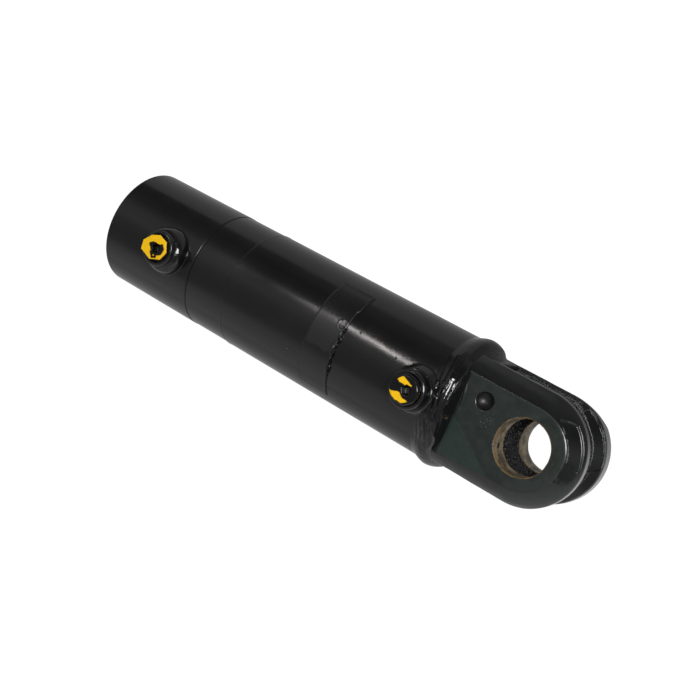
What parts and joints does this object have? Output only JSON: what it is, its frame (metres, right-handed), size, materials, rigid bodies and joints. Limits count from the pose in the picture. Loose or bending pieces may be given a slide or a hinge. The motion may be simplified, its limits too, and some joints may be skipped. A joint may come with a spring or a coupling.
{
  "type": "hydraulic cylinder",
  "caption": "Double-acting welded hydraulic cylinder: a round steel barrel with a two-ear bushed base clevis, plugged side ports and a retracted rod in the head.",
  "frame": {"origin": "middle of the base pin, on the barrel's axis", "axes": "+X along the barrel's axis, from the barrel out through the clevis; +Z along the base pin, the way both ports face; +Y across"},
  "size_m": [0.4708, 0.1086, 0.1251],
  "materials": {
    "black_enamel": "gloss black enamel",
    "grey_enamel": "semi-gloss black-grey enamel on milled steel",
    "weld_enamel": "gloss black enamel on weld metal",
    "bronze": "dull bronze with rust stains",
    "decal": "film painted over in black, left blank",
    "yellow_plastic": "satin yellow, with black overspray",
    "cast_iron": "machined grey iron",
    "nitrile": "matt black rubber",
    "phenolic": "brown fabric-filled resin",
    "urethane": "blue polyurethane",
    "chrome": "ground and polished hard chrome",
    "steel": "turned bare steel"
  },
  "bodies": {
    "barrel": {"barrel_tube": "black_enamel", "head_collar": "black_enamel", "base_clevis": "grey_enamel", "base_weld_bead": "weld_enamel", "clevis_bush_upper": "bronze", "clevis_bush_lower": "bronze", "label_plate": "decal", "head_port_boss": "black_enamel", "head_port_weld": "weld_enamel", "base_port_boss": "black_enamel", "base_port_weld": "weld_enamel", "gland": "cast_iron", "gland_o_ring": "nitrile", "gland_backup_ring": "phenolic", "rod_wiper": "urethane", "rod_guide_band_front": "phenolic", "rod_seal": "urethane", "rod_buffer_seal": "urethane", "rod_guide_band_rear": "phenolic"},
    "piston_seals": {"piston_seal": "urethane", "piston_seal_energiser": "nitrile", "piston_wear_band_front": "phenolic", "piston_wear_band_rear": "phenolic"},
    "rod_assembly": {"piston_rod": "chrome", "piston": "steel", "piston_nut": "steel", "piston_rod_o_ring": "nitrile"},
    "head_plug": {"head_port_plug": "yellow_plastic"},
    "base_plug": {"base_port_plug": "yellow_plastic"}
  },
  "joints": [
    {"name": "rod_slide", "type": "slide", "parent": "barrel", "child": "piston_seals", "axis": [-1, 0, 0], "range_m": [0, 0.19]},
    {"name": "rod_spin", "type": "hinge", "parent": "piston_seals", "child": "rod_assembly", "pos_m": [-0.24, 0, 0], "axis": [1, 0, 0], "continuous": true},
    {"name": "head_plug_pull", "type": "slide", "parent": "barrel", "child": "head_plug", "axis": [0, 0, 1], "range_m": [0, 0.025]},
    {"name": "base_plug_pull", "type": "slide", "parent": "barrel", "child": "base_plug", "axis": [0, 0, 1], "range_m": [0, 0.025]}
  ]
}
